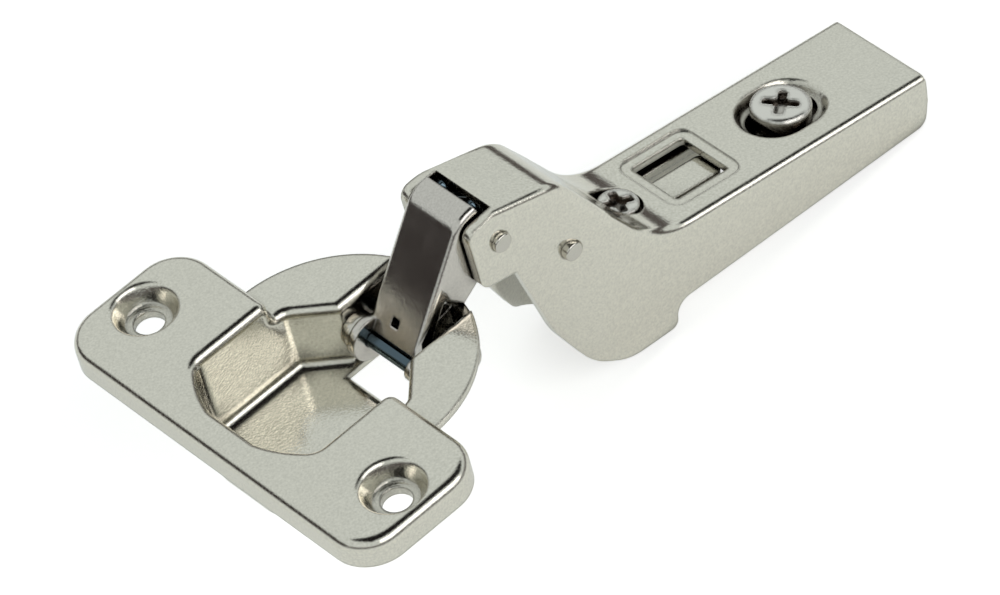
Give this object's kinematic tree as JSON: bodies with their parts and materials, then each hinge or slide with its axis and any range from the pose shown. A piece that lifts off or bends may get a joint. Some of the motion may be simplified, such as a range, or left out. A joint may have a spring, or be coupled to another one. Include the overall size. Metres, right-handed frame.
{
  "type": "concealed cup hinge",
  "caption": "Concealed cabinet hinge, shown open: drawn cup with a screw flange, folded arm on a four-bar linkage, closing springs, and an adjustable carriage under the arm.",
  "frame": {"origin": "centre of the bore that takes the cup, on the door's face", "axes": "+X from the cup to the hinge arm, +Y along the flange, +Z out of the door"},
  "size_m": [0.1075, 0.0562, 0.0378],
  "materials": {
    "nickel_plate": "satin nickel plate",
    "link_plate": "bright nickel plate",
    "bright_steel": "plated rivet",
    "blued_steel": "blued",
    "zinc_screw": "bright plated",
    "bush_plastic": "plain"
  },
  "bodies": {
    "cup": {"cup": "nickel_plate", "cup_pin_front": "blued_steel", "cup_pin_rear": "blued_steel", "cup_pin_spacer_left": "bright_steel", "cup_pin_spacer_right": "bright_steel"},
    "outer_link": {"outer_link": "link_plate"},
    "arm": {"arm": "nickel_plate", "arm_pin_front": "bright_steel", "arm_pin_rear": "bright_steel", "closing_spring_left": "blued_steel", "closing_spring_right": "blued_steel", "spring_bush_left": "bush_plastic", "spring_bush_right": "bush_plastic"},
    "inner_link": {"inner_link_plate_left": "link_plate", "inner_link_plate_centre": "link_plate", "inner_link_plate_right": "link_plate"},
    "carriage": {"carriage": "nickel_plate"},
    "fixing_screw": {"fixing_screw": "zinc_screw"},
    "side_adjust_screw": {"side_adjust_screw": "zinc_screw"}
  },
  "joints": [
    {"name": "outer_link_turn", "type": "hinge", "parent": "cup", "child": "outer_link", "pos_m": [0.0076, 0, -0.0042], "axis": [0, -1, 0], "range_deg": [0, 132]},
    {"name": "arm_turn", "type": "hinge", "parent": "outer_link", "child": "arm", "pos_m": [0.02275, 0, 0.00635], "axis": [0, -1, 0], "range_deg": [-36, 0], "deforming": ["closing_spring_left", "closing_spring_right"]},
    {"name": "inner_link_turn", "type": "hinge", "parent": "cup", "child": "inner_link", "pos_m": [0.0117, 0, -0.0045], "axis": [0, -1, 0], "range_deg": [0, 133]},
    {"name": "carriage_slide", "type": "slide", "parent": "arm", "child": "carriage", "axis": [0.982, 0, -0.1891], "range_m": [-0.0014, 0.0014]},
    {"name": "fixing_screw_turn", "type": "hinge", "parent": "carriage", "child": "fixing_screw", "pos_m": [0.07082, 0, -0.01541], "axis": [0.1891, 0, 0.982], "continuous": true},
    {"name": "side_adjust_screw_turn", "type": "hinge", "parent": "arm", "child": "side_adjust_screw", "pos_m": [0.04401, 0, -0.01025], "axis": [0.1891, 0, 0.982], "continuous": true}
  ],
  "couplings": [
    {"joint": "arm_turn", "follows": "outer_link_turn", "ratio": -0.2688},
    {"joint": "inner_link_turn", "follows": "outer_link_turn", "ratio": 1.0058}
  ]
}
